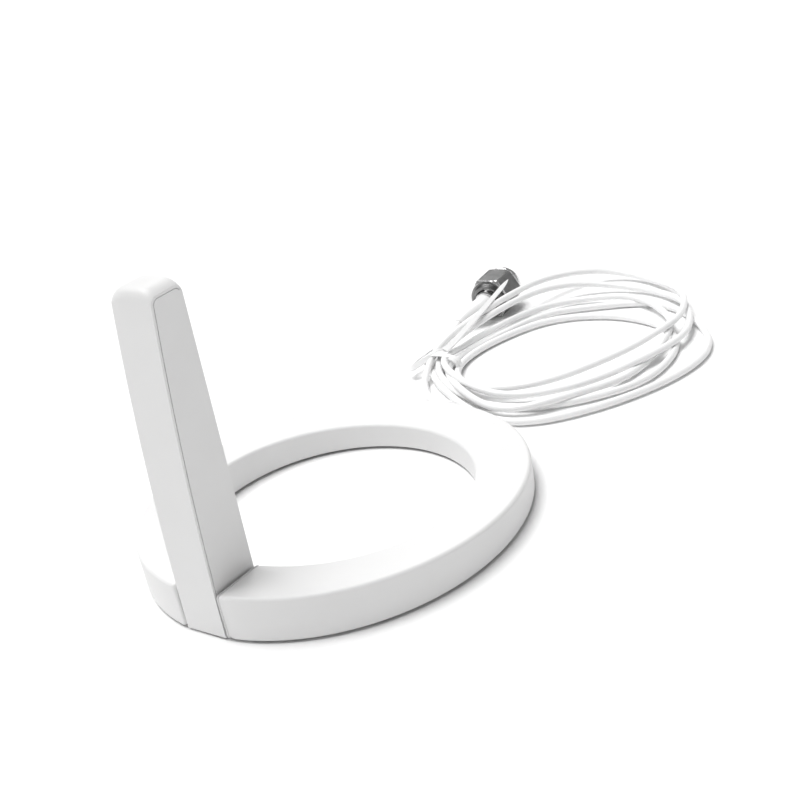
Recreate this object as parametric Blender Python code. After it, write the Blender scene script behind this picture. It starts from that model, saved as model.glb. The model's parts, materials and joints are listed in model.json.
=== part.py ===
"""Desk-top TV antenna: ring base, folding mast, and a coax lead that is coiled and ends in a screw-on plug.

Frame: metres, +Z up. The origin is on the table under the centre of the ring, and the mast stands at -Y.
"""

import math

import bmesh
import bpy
from mathutils import Matrix, Vector

MM = 0.001

# Ring base: an ellipse outside, a round opening inside, and a top that slopes down away from the mast
RING_HALF_WIDTH = 40.6 * MM
RING_HALF_LENGTH = 43.85 * MM
OPENING_RADIUS = 30.5 * MM
OPENING_Y = -1.5 * MM
TOP_AT_MAST = 9.9 * MM
TOP_AT_EXIT = 5.5 * MM
TOP_EDGE = 0.7 * MM
SHELL_BOTTOM = 0.4 * MM
OUTER_WALL = 1.5 * MM
INNER_WALL = 1.4 * MM
TOP_WALL = 1.3 * MM
CAVITY_START_DEG = 15
RING_STEPS = 80

# Bottom cover, its screws and its feet
COVER_BOTTOM = 0.4 * MM
PLATE_TOP = 1.3 * MM
PLATE_GAP = 0.2 * MM
SCREW_ANGLES_DEG = (52, 132, 228, 308)
SCREW_PLACE = 0.58
CUP_RADIUS = 2.4 * MM
CUP_TOP = 3.0 * MM
HEAD_SEAT = 2.15 * MM
SCREW_HEAD_RADIUS = 1.7 * MM
SCREW_HEAD_HEIGHT = 1.0 * MM
SCREW_RADIUS = 0.8 * MM
SCREW_TIP = 4.7 * MM
BOSS_RADIUS = 1.9 * MM
PAD_RADIUS = 2.4 * MM
PAD_TOP = 0.5 * MM
PAD_RECESS_TOP = 0.6 * MM

# Ballast
BALLAST_ANGLES_DEG = (63, 121)
BALLAST_BOTTOM = 1.5 * MM
BALLAST_TOP = 4.0 * MM
BALLAST_OUTER_INSET = 1.9 * MM
BALLAST_INNER_INSET = 4.1 * MM

# Mast: a slim box whose front leans back in a shallow curve
MAST_HALF_WIDTH = 4.85 * MM
MAST_TOP = 65.9 * MM
MAST_BOTTOM = 0.3 * MM
FRONT_AT_FLOOR = -43.4 * MM
FRONT_SLOPE = 0.0151
FRONT_CURVE = 0.955
REAR_AT_FLOOR = -32.3 * MM
REAR_SLOPE = 0.021
TOP_FRONT_RADIUS = 1.9 * MM
TOP_REAR_RADIUS = 1.6 * MM
CROWN = 1.5 * MM
CROWN_STARTS = 62.4 * MM
FRONT_COVER_THICKNESS = 0.5 * MM
COVER_LIP = 64.0 * MM
SEAM = 0.3 * MM
MAST_WALL = 1.3 * MM
MAST_FLOOR = 12.5 * MM
MAST_ROOF = 60.9 * MM

# Hinge between the ring and the mast
PIVOT_Y = -36.9 * MM
PIVOT_Z = 5.0 * MM
FOOT_RADIUS = 4.7 * MM
NOTCH_HALF_WIDTH = 5.35 * MM
AXLE_RADIUS = 1.2 * MM
BUSH_RADIUS = 2.2 * MM
BUSH_BORE = 1.2 * MM
WASHER_RADIUS = 3.1 * MM
RUNNING_GAP = 0.12 * MM

# Antenna board
BOARD_FRONT = -36.0 * MM
BOARD_BACK = -35.2 * MM
BOARD_HALF_WIDTH = 3.1 * MM
BOARD_BOTTOM = 14.0 * MM
BOARD_TOP = 60.5 * MM
BOARD_SCREWS = ((-1.5 * MM, 17.0 * MM), (0.0, 58.0 * MM))

# Coax cord
CORD_RADIUS = 0.9 * MM
CORD_SPACING = 3.2 * MM
EXIT_Y = 46.3 * MM
EXIT_Z = 2.75 * MM
CORD_ON_TABLE = 0.95
LEAD_ROUTE_MM = (
    (0, 42.0, 2.75), (0, 43.5, 2.75), (0, 45.5, 2.75), (-0.3, 46.8, 2.65), (-1.4, 48.1, 2.2),
    (-3.2, 49.2, 1.55), (-6.1, 50.1, CORD_ON_TABLE), (-9.7, 51.7, CORD_ON_TABLE), (-12.9, 54.6, CORD_ON_TABLE),
)
TAIL_ROUTE_MM = (
    (-22.9, 75.8, CORD_ON_TABLE), (-24.1, 80.2, CORD_ON_TABLE), (-24.9, 84.8, 1.3),
    (-25.4, 88.6, 2.0), (-25.8, 92.2, 2.8),
)
# Coil: one row for each station round it, starting at the tie: outermost turn, innermost turn, low and high
COIL_STATIONS_MM = (
    ((-20.6, 68.3), (-12.4, 68.3), 0.9, 4.1),
    ((-18.9, 85.0), (-13.2, 79.5), 0.1, 6.2),
    ((-14.8, 101.0), (-9.0, 92.0), 0.05, 7.9),
    ((-12.0, 119.0), (-3.8, 101.6), 0.05, 5.4),
    ((-2.6, 134.0), (4.6, 106.4), 0.05, 2.2),
    ((14.4, 135.6), (15.0, 108.0), 0.05, 2.2),
    ((32.0, 121.4), (25.5, 104.6), 0.05, 3.4),
    ((46.6, 97.0), (30.4, 96.5), 0.05, 4.2),
    ((44.4, 75.6), (25.8, 78.0), 0.05, 4.0),
    ((31.0, 54.6), (17.4, 63.0), 0.05, 3.6),
    ((14.8, 44.4), (5.0, 56.4), 0.05, 3.8),
    ((-6.5, 53.6), (-5.6, 59.6), 0.1, 4.0),
)
STEPS_PER_STATION = 5

# Tie round the bundle
TIE_Y = 68.6 * MM
TIE_WIDTH = 2.2 * MM
TIE_THICKNESS = 0.5 * MM
TIE_X = (-22.9 * MM, -10.2 * MM)
TIE_Z = (0.05 * MM, 5.0 * MM)
TIE_TAIL_MM = ((-16.6, 68.6, 4.8), (-16.2, 80.0, 6.4), (-16.4, 94.0, 8.4), (-16.9, 107.5, 10.4))
TIE_LOOP_MM = ((-18.0, 68.6, 4.8), (-19.9, 66.2, 4.75), (-21.6, 64.2, 4.4), (-22.9, 63.0, 4.0))

# Plug: a screw-on coax plug that lies on one flat of its nut
PLUG_REAR = Vector((-21.9, 103.7, 5.5)) * MM
PLUG_DIRECTION = Vector((-0.108, 0.994, 0.0)).normalized()
NUT_ACROSS_FLATS = 11.0 * MM
NUT_LENGTH = 11.5 * MM
NUT_BORE = 4.45 * MM
NUT_REAR_HOLE = 3.5 * MM
NUT_FLANGE = 2.2 * MM
NUT_COLLAR_RADIUS = 4.9 * MM
NUT_COLLAR_LENGTH = 1.6 * MM
BOOT_ROUTE_MM = (
    (-21.60, 100.9, 5.5), (-21.52, 100.0, 5.48), (-21.95, 98.9, 5.3), (-22.9, 97.7, 4.9),
    (-23.9, 96.5, 4.4), (-24.7, 95.2, 3.85), (-25.3, 93.9, 3.35), (-25.75, 92.5, 2.85),
)
BOOT_RADII_MM = (2.6, 2.6, 2.5, 2.3, 2.05, 1.8, 1.5, 1.3)

PAINTS = {
    "white_plastic": ((0.87, 0.87, 0.86), 0.42, 0.0),
    "cover_plastic": ((0.82, 0.82, 0.81), 0.5, 0.0),
    "rubber": ((0.75, 0.75, 0.74), 0.8, 0.0),
    "steel": ((0.55, 0.56, 0.58), 0.35, 1.0),
    "ballast_steel": ((0.35, 0.36, 0.37), 0.5, 1.0),
    "brass": ((0.78, 0.6, 0.3), 0.3, 1.0),
    "acetal": ((0.9, 0.9, 0.88), 0.4, 0.0),
    "copper": ((0.85, 0.5, 0.33), 0.3, 1.0),
    "board": ((0.07, 0.3, 0.14), 0.45, 0.0),
    "chip": ((0.05, 0.05, 0.055), 0.4, 0.0),
    "cord_white": ((0.88, 0.88, 0.87), 0.4, 0.0),
    "dark_nickel": ((0.32, 0.32, 0.33), 0.3, 1.0),
    "bright_nickel": ((0.75, 0.75, 0.76), 0.12, 1.0),
    "dielectric": ((0.9, 0.9, 0.88), 0.5, 0.0),
}


def clear_scene():
    for obj in list(bpy.data.objects):
        bpy.data.objects.remove(obj)


def paint(name):
    """The Principled material of this name, made once."""
    found = bpy.data.materials.get(name)
    if found:
        return found
    colour, roughness, metallic = PAINTS[name]
    material = bpy.data.materials.new(name)
    material.use_nodes = True
    shader = material.node_tree.nodes["Principled BSDF"]
    shader.inputs["Base Color"].default_value = (*colour, 1.0)
    shader.inputs["Roughness"].default_value = roughness
    shader.inputs["Metallic"].default_value = metallic
    return material


def add_object(name, data, material=None, parent=None):
    obj = bpy.data.objects.new(name, data)
    bpy.context.scene.collection.objects.link(obj)
    if material:
        data.materials.append(paint(material))
    if parent:
        obj.parent = parent
        obj.matrix_parent_inverse = parent.matrix_world.inverted()
    return obj


def mesh_from(name, bm):
    """A mesh with its faces pointing out, smooth except at sharp edges."""
    bmesh.ops.recalc_face_normals(bm, faces=bm.faces)
    mesh = bpy.data.meshes.new(name)
    bm.to_mesh(mesh)
    bm.free()
    mesh.shade_smooth()
    mesh.set_sharp_from_angle(angle=math.radians(35))
    return mesh


def axis_empty(name, location):
    empty = bpy.data.objects.new(name, None)
    empty.location = location
    bpy.context.scene.collection.objects.link(empty)
    bpy.context.view_layer.update()
    return empty


def combine(target, operation, bm):
    """Adds a Boolean of this shape to the target and keeps the shape as a hidden helper."""
    name = f"{target.name}_{operation.lower()}_{len(target.modifiers)}"
    helper = add_object(name, mesh_from(name, bm))
    helper.hide_render = True
    helper.display_type = "WIRE"
    modifier = target.modifiers.new(operation, "BOOLEAN")
    modifier.operation = operation
    modifier.object = helper


def add_loft(bm, sections, closed):
    """Skins a list of sections, each a list of points; an open loft is capped."""
    rings = [[bm.verts.new(point) for point in section] for section in sections]
    count = len(rings[0])
    spans = len(rings) if closed else len(rings) - 1
    for i in range(spans):
        here, there = rings[i], rings[(i + 1) % len(rings)]
        for k in range(count):
            after = (k + 1) % count
            bm.faces.new((here[k], here[after], there[after], there[k]))
    if not closed:
        bm.faces.new(rings[0])
        bm.faces.new(rings[-1])


def loft(sections, closed=False):
    bm = bmesh.new()
    add_loft(bm, sections, closed)
    return bm


def prism_x(outline, half_width):
    """A prism along X of an outline given as (y, z) points."""
    return loft([[(x, y, z) for y, z in outline] for x in (-half_width, half_width)])


def box(low, high):
    outline = [(low[1], low[2]), (high[1], low[2]), (high[1], high[2]), (low[1], high[2])]
    return loft([[(x, y, z) for y, z in outline] for x in (low[0], high[0])])


def add_turned(bm, profile, start, direction, steps):
    """Adds a turned solid: profile holds (radius, distance along direction); a radius of 0 closes an end."""
    turn = Vector(direction).to_track_quat("Z", "Y").to_matrix().to_4x4()
    place = Matrix.Translation(start) @ turn
    rings = []
    for radius, along in profile:
        if radius == 0:
            rings.append([bm.verts.new(place @ Vector((0, 0, along)))])
            continue
        angles = [2 * math.pi * i / steps for i in range(steps)]
        points = [(radius * math.cos(a), radius * math.sin(a), along) for a in angles]
        rings.append([bm.verts.new(place @ Vector(point)) for point in points])
    hollow = profile[0][0] > 0
    pairs = list(zip(rings, rings[1:]))
    if hollow:
        pairs.append((rings[-1], rings[0]))
    for here, there in pairs:
        for i in range(steps):
            j = (i + 1) % steps
            corners = [here[i % len(here)], here[j % len(here)], there[j % len(there)], there[i % len(there)]]
            bm.faces.new(list(dict.fromkeys(corners)))


def turned(profile, start, direction=(0, 0, 1), steps=24):
    """A turned solid. A profile that starts at radius 0 is solid; any other closes on itself as a ring."""
    bm = bmesh.new()
    add_turned(bm, profile, start, direction, steps)
    return bm


def rods(places, radius, direction=(0, 0, 1), steps=20):
    """Plain round rods in one mesh: places holds (start, length)."""
    bm = bmesh.new()
    for start, length in places:
        add_turned(bm, [(0, 0), (radius, 0), (radius, length), (0, length)], start, direction, steps)
    return bm


def smooth_route(points, spacing, closed=False):
    """Points about this far apart on a smooth curve through the given points."""
    knots = [Vector(point) for point in points]
    count = len(knots)
    route = []
    for i in range(count if closed else count - 1):
        if closed:
            before, here, there, after = (knots[(i + k) % count] for k in (-1, 0, 1, 2))
        else:
            before, here, there, after = (knots[min(max(i + k, 0), count - 1)] for k in (-1, 0, 1, 2))
        steps = max(1, round((there - here).length / spacing))
        for step in range(steps):
            t = step / steps
            straight = here + (there - here) * t
            bend_in = here * 2 - before - there
            bend_out = there * 2 - here - after
            route.append(straight + (bend_in * (1 - t) + bend_out * t) * (t * (1 - t) / 2))
    if not closed:
        route.append(knots[-1])
    return route


def tube(name, points, radius, material, parent=None, radii=None):
    """A round cord along these points, with closed ends. radii are per point, as shares of the radius."""
    curve = bpy.data.curves.new(name, "CURVE")
    curve.dimensions = "3D"
    curve.bevel_depth = radius
    curve.bevel_resolution = 2
    curve.use_fill_caps = True
    spline = curve.splines.new("POLY")
    spline.points.add(len(points) - 1)
    for i, point in enumerate(points):
        spline.points[i].co = (*point, 1.0)
        spline.points[i].radius = radii[i] if radii else 1.0
    return add_object(name, curve, material, parent)


# Ring base


def top_height(y):
    """Height of the ring's sloping top at this y."""
    share = (y + RING_HALF_LENGTH) / (2 * RING_HALF_LENGTH)
    return TOP_AT_MAST + (TOP_AT_EXIT - TOP_AT_MAST) * share


def outer_point(angle, inset=0.0):
    """A point of the outer outline. The angle runs from the mast towards +X."""
    return Vector(
        ((RING_HALF_WIDTH - inset) * math.sin(angle), -(RING_HALF_LENGTH - inset) * math.cos(angle), 0)
    )


def inner_point(angle, inset=0.0):
    radius = OPENING_RADIUS + inset
    return Vector((radius * math.sin(angle), OPENING_Y - radius * math.cos(angle), 0))


def ring_section(angle, outer_inset, inner_inset, low, high, edge):
    """Six corners of the ring's section at this angle; high is a height or a function of y."""
    outer = outer_point(angle, outer_inset)
    inner = inner_point(angle, inner_inset)
    inward = (inner - outer).normalized() * edge
    corners = []
    for base, step in ((outer, inward), (inner, -inward)):
        top = high(base.y) if callable(high) else high
        rise = [
            Vector((base.x, base.y, low)),
            Vector((base.x, base.y, top - edge)),
            Vector((base.x + step.x, base.y + step.y, top)),
        ]
        corners.append(rise)
    return corners[0] + corners[1][::-1]


def ring_band(outer_inset, inner_inset, low, high, edge, span_deg=None):
    """All of the ring, or its part between two angles."""
    if span_deg is None:
        angles = [2 * math.pi * i / RING_STEPS for i in range(RING_STEPS)]
    else:
        start, end = (math.radians(a) for a in span_deg)
        steps = max(2, round((end - start) / (2 * math.pi) * RING_STEPS))
        angles = [start + (end - start) * i / steps for i in range(steps + 1)]
    sections = [ring_section(a, outer_inset, inner_inset, low, high, edge) for a in angles]
    return loft(sections, closed=span_deg is None)


def notch():
    """The slot for the mast, open to the outside, to the opening, above and below."""
    return box(
        (-NOTCH_HALF_WIDTH, -RING_HALF_LENGTH - 5 * MM, -5 * MM),
        (NOTCH_HALF_WIDTH, OPENING_Y - OPENING_RADIUS + 5 * MM, TOP_AT_MAST + 5 * MM),
    )


def screw_places():
    """The four places on the ring where a cover screw and its foot sit."""
    places = []
    for degrees in SCREW_ANGLES_DEG:
        angle = math.radians(degrees)
        places.append(inner_point(angle).lerp(outer_point(angle), SCREW_PLACE))
    return places


def at_height(place, z):
    return Vector((place.x, place.y, z))


def clamp_place(radius):
    """A point beside the inner lead, this far from the opening's centre, where the clamp sits."""
    angle = math.radians(143)
    return Vector((radius * math.sin(angle), OPENING_Y - radius * math.cos(angle), 0))


def exit_slot():
    """A round-topped slot through the far wall for the grommet."""
    radius = 1.45 * MM
    arc = [(radius * math.cos(a), EXIT_Z + radius * math.sin(a)) for a in (math.pi * i / 12 for i in range(13))]
    outline = [(radius, 0.0), *arc, (-radius, 0.0)]
    return loft([[(x, y, z) for x, z in outline] for y in (40 * MM, 46 * MM)])


def make_top_shell():
    shell = add_object("base_top_shell", mesh_from("base_top_shell", ring_band(
        0, 0, SHELL_BOTTOM, top_height, TOP_EDGE)), "white_plastic")
    combine(shell, "DIFFERENCE", notch())
    cavity_span = (CAVITY_START_DEG, 360 - CAVITY_START_DEG)
    combine(shell, "DIFFERENCE", ring_band(
        OUTER_WALL, INNER_WALL, -MM, lambda y: top_height(y) - TOP_WALL, 0.3 * MM, cavity_span))
    bosses = []
    for place in screw_places():
        bosses.append((at_height(place, CUP_TOP + 0.1 * MM), top_height(place.y) - CUP_TOP - 0.7 * MM))
    combine(shell, "UNION", rods(bosses, BOSS_RADIUS, steps=16))
    bores = [(at_height(p, CUP_TOP - MM), SCREW_TIP - CUP_TOP + 1.1 * MM) for p in screw_places()]
    combine(shell, "DIFFERENCE", rods(bores, SCREW_RADIUS + 0.1 * MM, steps=12))
    axle_start = Vector((-11 * MM, PIVOT_Y, PIVOT_Z))
    combine(shell, "DIFFERENCE", rods([(axle_start, 7 * MM)], AXLE_RADIUS + RUNNING_GAP, (1, 0, 0)))
    bush_start = Vector((4 * MM, PIVOT_Y, PIVOT_Z))
    combine(shell, "DIFFERENCE", rods([(bush_start, 7 * MM)], BUSH_RADIUS + RUNNING_GAP, (1, 0, 0)))
    combine(shell, "DIFFERENCE", exit_slot())


def make_bottom_cover():
    span = (CAVITY_START_DEG + 1, 359 - CAVITY_START_DEG)
    cover = add_object("base_bottom_cover", mesh_from("base_bottom_cover", ring_band(
        OUTER_WALL + PLATE_GAP, INNER_WALL + PLATE_GAP, COVER_BOTTOM, PLATE_TOP, 0.1 * MM, span)), "cover_plastic")
    places = screw_places()
    cups = [(at_height(p, COVER_BOTTOM + 0.2 * MM), CUP_TOP - COVER_BOTTOM - 0.2 * MM) for p in places]
    combine(cover, "UNION", rods(cups, CUP_RADIUS))
    recesses = [(at_height(p, -MM), PAD_RECESS_TOP + MM) for p in places]
    combine(cover, "DIFFERENCE", rods(recesses, PAD_RADIUS + 0.15 * MM))
    counterbores = [(at_height(p, 0), HEAD_SEAT) for p in places]
    combine(cover, "DIFFERENCE", rods(counterbores, SCREW_HEAD_RADIUS + 0.15 * MM))
    holes = [(at_height(p, MM), 3 * MM) for p in places]
    combine(cover, "DIFFERENCE", rods(holes, SCREW_RADIUS + 0.15 * MM, steps=12))
    post = at_height(clamp_place(37.2 * MM), COVER_BOTTOM + 0.2 * MM)
    combine(cover, "UNION", rods([(post, 2.6 * MM)], 1.6 * MM, steps=16))
    pilot = at_height(clamp_place(37.2 * MM), 1.5 * MM)
    combine(cover, "DIFFERENCE", rods([(pilot, 3 * MM)], 0.7 * MM, steps=12))


def screw_profile(head_radius, head_height, radius, tip):
    """A self-tapping screw: a pan head with a round recess at distance 0, then the shank."""
    recess = head_radius * 0.45
    return [
        (0, head_height * 0.55), (recess, head_height * 0.55), (recess, 0), (head_radius * 0.8, 0),
        (head_radius, head_height * 0.35), (head_radius, head_height), (radius, head_height),
        (radius, tip - radius), (radius * 0.35, tip), (0, tip),
    ]


def make_cover_screws_and_pads():
    head_start = HEAD_SEAT - 0.05 * MM - SCREW_HEAD_HEIGHT
    profile = screw_profile(SCREW_HEAD_RADIUS, SCREW_HEAD_HEIGHT, SCREW_RADIUS, SCREW_TIP - head_start)
    edge = 0.2 * MM
    pad = [(0, 0), (PAD_RADIUS - edge, 0), (PAD_RADIUS, edge), (PAD_RADIUS, PAD_TOP), (0, PAD_TOP)]
    for number, place in enumerate(screw_places(), 1):
        screw = turned(profile, at_height(place, head_start), steps=16)
        add_object(f"cover_screw_{number}", mesh_from("cover_screw", screw), "steel")
        foot = turned(pad, place)
        add_object(f"foot_pad_{number}", mesh_from("foot_pad", foot), "rubber")


def make_ballast():
    for side, name in ((1, "ballast_plate_right"), (-1, "ballast_plate_left")):
        span = BALLAST_ANGLES_DEG if side > 0 else tuple(360 - a for a in BALLAST_ANGLES_DEG[::-1])
        band = ring_band(BALLAST_OUTER_INSET, BALLAST_INNER_INSET, BALLAST_BOTTOM, BALLAST_TOP, 0.3 * MM, span)
        add_object(name, mesh_from(name, band), "ballast_steel")


def make_grommet():
    """Strain relief: a neck in the far wall, a collar outside it and a short tapered sleeve."""
    bore = 1.02 * MM
    profile = [
        (bore, 0), (1.35 * MM, 0), (1.35 * MM, 2.9 * MM), (1.8 * MM, 2.9 * MM), (1.85 * MM, 3.5 * MM),
        (1.6 * MM, 3.9 * MM), (1.35 * MM, 5.2 * MM), (bore, 5.2 * MM),
    ]
    start = Vector((0, EXIT_Y - 5.2 * MM, EXIT_Z))
    add_object("cable_grommet", mesh_from("cable_grommet", turned(profile, start, (0, 1, 0))), "rubber")


def base_lead_route():
    """Along the hinge axis, round the right side against the inner wall, then out through the far wall."""
    lead_radius = 33.1 * MM
    route = [Vector((x * MM, PIVOT_Y, PIVOT_Z)) for x in (5.4, 7.6, 9.8)]
    route.append(Vector((13.4, -34.6, 4.6)) * MM)
    heights = {34: 3.7, 50: 2.7, 70: 2.3, 90: 2.3, 110: 2.3, 130: 2.3, 150: 2.3}
    for degrees, height in heights.items():
        angle = math.radians(degrees)
        place = Vector((lead_radius * math.sin(angle), OPENING_Y - lead_radius * math.cos(angle), height * MM))
        route.append(place)
    route += [Vector(p) * MM for p in ((10.4, 30.6, 2.4), (5.2, 33.6, 2.6), (1.4, 37.2, 2.7), (0, 41.6, 2.75))]
    return route


def make_base_lead():
    tube("base_lead", smooth_route(base_lead_route(), CORD_SPACING), CORD_RADIUS, "cord_white")
    centre = clamp_place(35.2 * MM)
    bar = box((-1.4 * MM, -3.0 * MM, 3.35 * MM), (1.4 * MM, 3.4 * MM, 4.0 * MM))
    turn = Matrix.Rotation(math.radians(143 - 180), 4, "Z")
    bmesh.ops.transform(bar, matrix=Matrix.Translation(centre) @ turn, verts=bar.verts)
    clamp = add_object("cable_clamp", mesh_from("cable_clamp", bar), "acetal")
    hole = at_height(clamp_place(37.2 * MM), 3 * MM)
    combine(clamp, "DIFFERENCE", rods([(hole, 2 * MM)], 0.75 * MM, steps=12))
    head = at_height(clamp_place(37.2 * MM), 4.75 * MM)
    screw = turned(screw_profile(1.2 * MM, 0.7 * MM, 0.6 * MM, 3.0 * MM), head, (0, 0, -1), steps=16)
    add_object("clamp_screw", mesh_from("clamp_screw", screw), "steel")


# Hinge


def make_hinge():
    axle = [(0, 0), (AXLE_RADIUS * 0.8, 0), (AXLE_RADIUS, 0.3 * MM), (AXLE_RADIUS, 6.8 * MM), (0, 6.8 * MM)]
    start = Vector((-9.0 * MM, PIVOT_Y, PIVOT_Z))
    add_object("hinge_axle", mesh_from("hinge_axle", turned(axle, start, (1, 0, 0))), "steel")
    length = 6.1 * MM
    bush = [(BUSH_BORE, 0), (BUSH_RADIUS, 0), (BUSH_RADIUS, length), (BUSH_BORE, length)]
    start = Vector((3.0 * MM, PIVOT_Y, PIVOT_Z))
    add_object("hinge_bush", mesh_from("hinge_bush", turned(bush, start, (1, 0, 0))), "brass")
    thickness = 0.7 * MM
    washers = ((-1, AXLE_RADIUS, "friction_washer_left"), (1, BUSH_RADIUS, "friction_washer_right"))
    for side, hole, name in washers:
        bore = hole + RUNNING_GAP
        washer = [(bore, 0), (WASHER_RADIUS, 0), (WASHER_RADIUS, thickness), (bore, thickness)]
        start = Vector((side * 4.55 * MM, PIVOT_Y, PIVOT_Z))
        add_object(name, mesh_from(name, turned(washer, start, (side, 0, 0))), "acetal")


# Mast


def front_y(z):
    return FRONT_AT_FLOOR + FRONT_SLOPE * z + FRONT_CURVE * z * z


def rear_y(z):
    return REAR_AT_FLOOR + REAR_SLOPE * z


def arc(centre, radius, start_deg, end_deg, steps):
    """Points (y, z) of an arc; 0 degrees points along +Y and 90 up."""
    angles = [math.radians(start_deg + (end_deg - start_deg) * i / steps) for i in range(steps + 1)]
    return [(centre[0] + radius * math.cos(a), centre[1] + radius * math.sin(a)) for a in angles]


def mast_skin(inset, lip_z):
    """The mast's front, top and rear lip as (y, z) points from the foot upwards, set in by this much."""
    front_z = MAST_TOP - TOP_FRONT_RADIUS
    heights = [MAST_BOTTOM + (front_z - MAST_BOTTOM) * i / 10 for i in range(11)]
    face = [(front_y(z) + inset, z) for z in heights]
    front_corner = arc((front_y(front_z) + TOP_FRONT_RADIUS, front_z), TOP_FRONT_RADIUS - inset, 175, 90, 6)
    rear_z = MAST_TOP - TOP_REAR_RADIUS
    rear_corner = arc((rear_y(rear_z) - TOP_REAR_RADIUS, rear_z), TOP_REAR_RADIUS - inset, 90, 0, 5)
    return face + front_corner + rear_corner + [(rear_y(lip_z) - inset, lip_z)]


def crowned(outline, half_width):
    """A prism along X of a (y, z) outline whose top swells towards the middle of its width."""
    sections = []
    for i in range(9):
        x = half_width * math.sin(math.pi / 2 * (i - 4) / 4)
        swell = CROWN * (1 - abs(x / half_width) ** 3)
        section = []
        for y, z in outline:
            share = min(max((z - CROWN_STARTS) / (MAST_TOP - FRONT_COVER_THICKNESS - CROWN_STARTS), 0), 1)
            section.append((x, y, z + swell * share * share * (3 - 2 * share)))
        sections.append(section)
    return loft(sections)


def make_mast_body(pivot):
    """A deep tray, open at the front, on a solid foot that turns on the axle and the bush."""
    lip_z = COVER_LIP - SEAM
    rear = [(rear_y(z), z) for z in (lip_z, 45 * MM, 25 * MM, 9 * MM)]
    foot = arc((PIVOT_Y, PIVOT_Z), FOOT_RADIUS, 0, -90, 8)
    outline = mast_skin(FRONT_COVER_THICKNESS + SEAM, lip_z) + rear + foot
    tray = mesh_from("mast_body", prism_x(outline, MAST_HALF_WIDTH))
    body = add_object("mast_body", tray, "white_plastic", pivot)
    back = [(rear_y(z) - MAST_WALL, z) for z in (MAST_FLOOR, MAST_ROOF)]
    hollow = [back[0], back[1], (-45 * MM, MAST_ROOF), (-45 * MM, MAST_FLOOR)]
    combine(body, "DIFFERENCE", prism_x(hollow, MAST_HALF_WIDTH - MAST_WALL))
    boss_start = BOARD_BACK + 0.1 * MM
    bosses = [(Vector((x, boss_start, z)), rear_y(z) - 0.6 * MM - boss_start) for x, z in BOARD_SCREWS]
    combine(body, "UNION", rods(bosses, 1.3 * MM, (0, 1, 0), steps=16))
    pilots = [(Vector((x, BOARD_BACK - MM, z)), 2.9 * MM) for x, z in BOARD_SCREWS]
    combine(body, "DIFFERENCE", rods(pilots, 0.6 * MM, (0, 1, 0), steps=12))
    combine(body, "DIFFERENCE", rods([(Vector((0.8 * MM, PIVOT_Y, 3.4 * MM)), 10 * MM)], 2.0 * MM))
    bore_start = Vector((1.5 * MM, PIVOT_Y, PIVOT_Z))
    combine(body, "DIFFERENCE", rods([(bore_start, 4 * MM)], BUSH_RADIUS + RUNNING_GAP, (1, 0, 0)))
    bore_start = Vector((-6 * MM, PIVOT_Y, PIVOT_Z))
    combine(body, "DIFFERENCE", rods([(bore_start, 4 * MM)], AXLE_RADIUS + RUNNING_GAP, (1, 0, 0)))
    pockets = [(Vector((x * MM, PIVOT_Y, PIVOT_Z)), MM) for x in (-5.35, 4.35)]
    combine(body, "DIFFERENCE", rods(pockets, WASHER_RADIUS + 0.3 * MM, (1, 0, 0), steps=24))


def make_mast_front_cover(pivot):
    """One strip up the mast's front, over its top and a little way down its rear, with a tongue inside."""
    outline = mast_skin(0, COVER_LIP) + mast_skin(FRONT_COVER_THICKNESS, COVER_LIP)[::-1]
    strip = crowned(outline, MAST_HALF_WIDTH)
    cover = add_object("mast_front_cover", mesh_from("mast_front_cover", strip), "white_plastic", pivot)
    heights = [(14 + 46 * i / 6) * MM for i in range(7)]
    low, high = FRONT_COVER_THICKNESS - 0.2 * MM, FRONT_COVER_THICKNESS + 1.1 * MM
    tongue = [(front_y(z) + low, z) for z in heights] + [(front_y(z) + high, z) for z in heights[::-1]]
    combine(cover, "UNION", prism_x(tongue, MAST_HALF_WIDTH - MAST_WALL - 0.3 * MM))


def make_board(pivot):
    plate = box((-BOARD_HALF_WIDTH, BOARD_FRONT, BOARD_BOTTOM), (BOARD_HALF_WIDTH, BOARD_BACK, BOARD_TOP))
    board = add_object("antenna_board", mesh_from("antenna_board", plate), "board", pivot)
    holes = [(Vector((x, BOARD_FRONT - MM, z)), 3 * MM) for x, z in BOARD_SCREWS]
    combine(board, "DIFFERENCE", rods(holes, 0.75 * MM, (0, 1, 0), steps=12))
    foil_back = BOARD_FRONT - 0.1 * MM
    foil_front = foil_back - 0.2 * MM
    for name, low, high in (("radiator_lower", 21.5, 33), ("radiator_upper", 36.5, 55)):
        foil = box((-2.6 * MM, foil_front, low * MM), (2.6 * MM, foil_back, high * MM))
        add_object(name, mesh_from(name, foil), "copper", pivot)
    block = box((-1.5 * MM, BOARD_FRONT - 1.1 * MM, 33.5 * MM), (1.5 * MM, foil_back, 36 * MM))
    add_object("balun", mesh_from("balun", block), "chip", pivot)
    profile = screw_profile(1.1 * MM, 0.6 * MM, 0.5 * MM, 2.9 * MM)
    for number, (x, z) in enumerate(BOARD_SCREWS, 1):
        start = Vector((x, BOARD_FRONT - 0.7 * MM, z))
        screw = turned(profile, start, (0, 1, 0), steps=16)
        add_object(f"board_screw_{number}", mesh_from("board_screw", screw), "steel", pivot)
    route = [Vector(p) * MM for p in (
        (5.1, -36.9, 5.0), (3.5, -36.9, 5.0), (2.3, -36.9, 5.3), (1.2, -36.9, 6.3), (0.7, -36.9, 8.6),
        (0.9, -36.95, 12.0), (1.4, -37.25, 16.0), (1.4, -37.25, 20.5))]
    tube("mast_lead", smooth_route(route, 1.6 * MM), CORD_RADIUS, "cord_white", pivot)


# Cord, coil and tie


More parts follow.
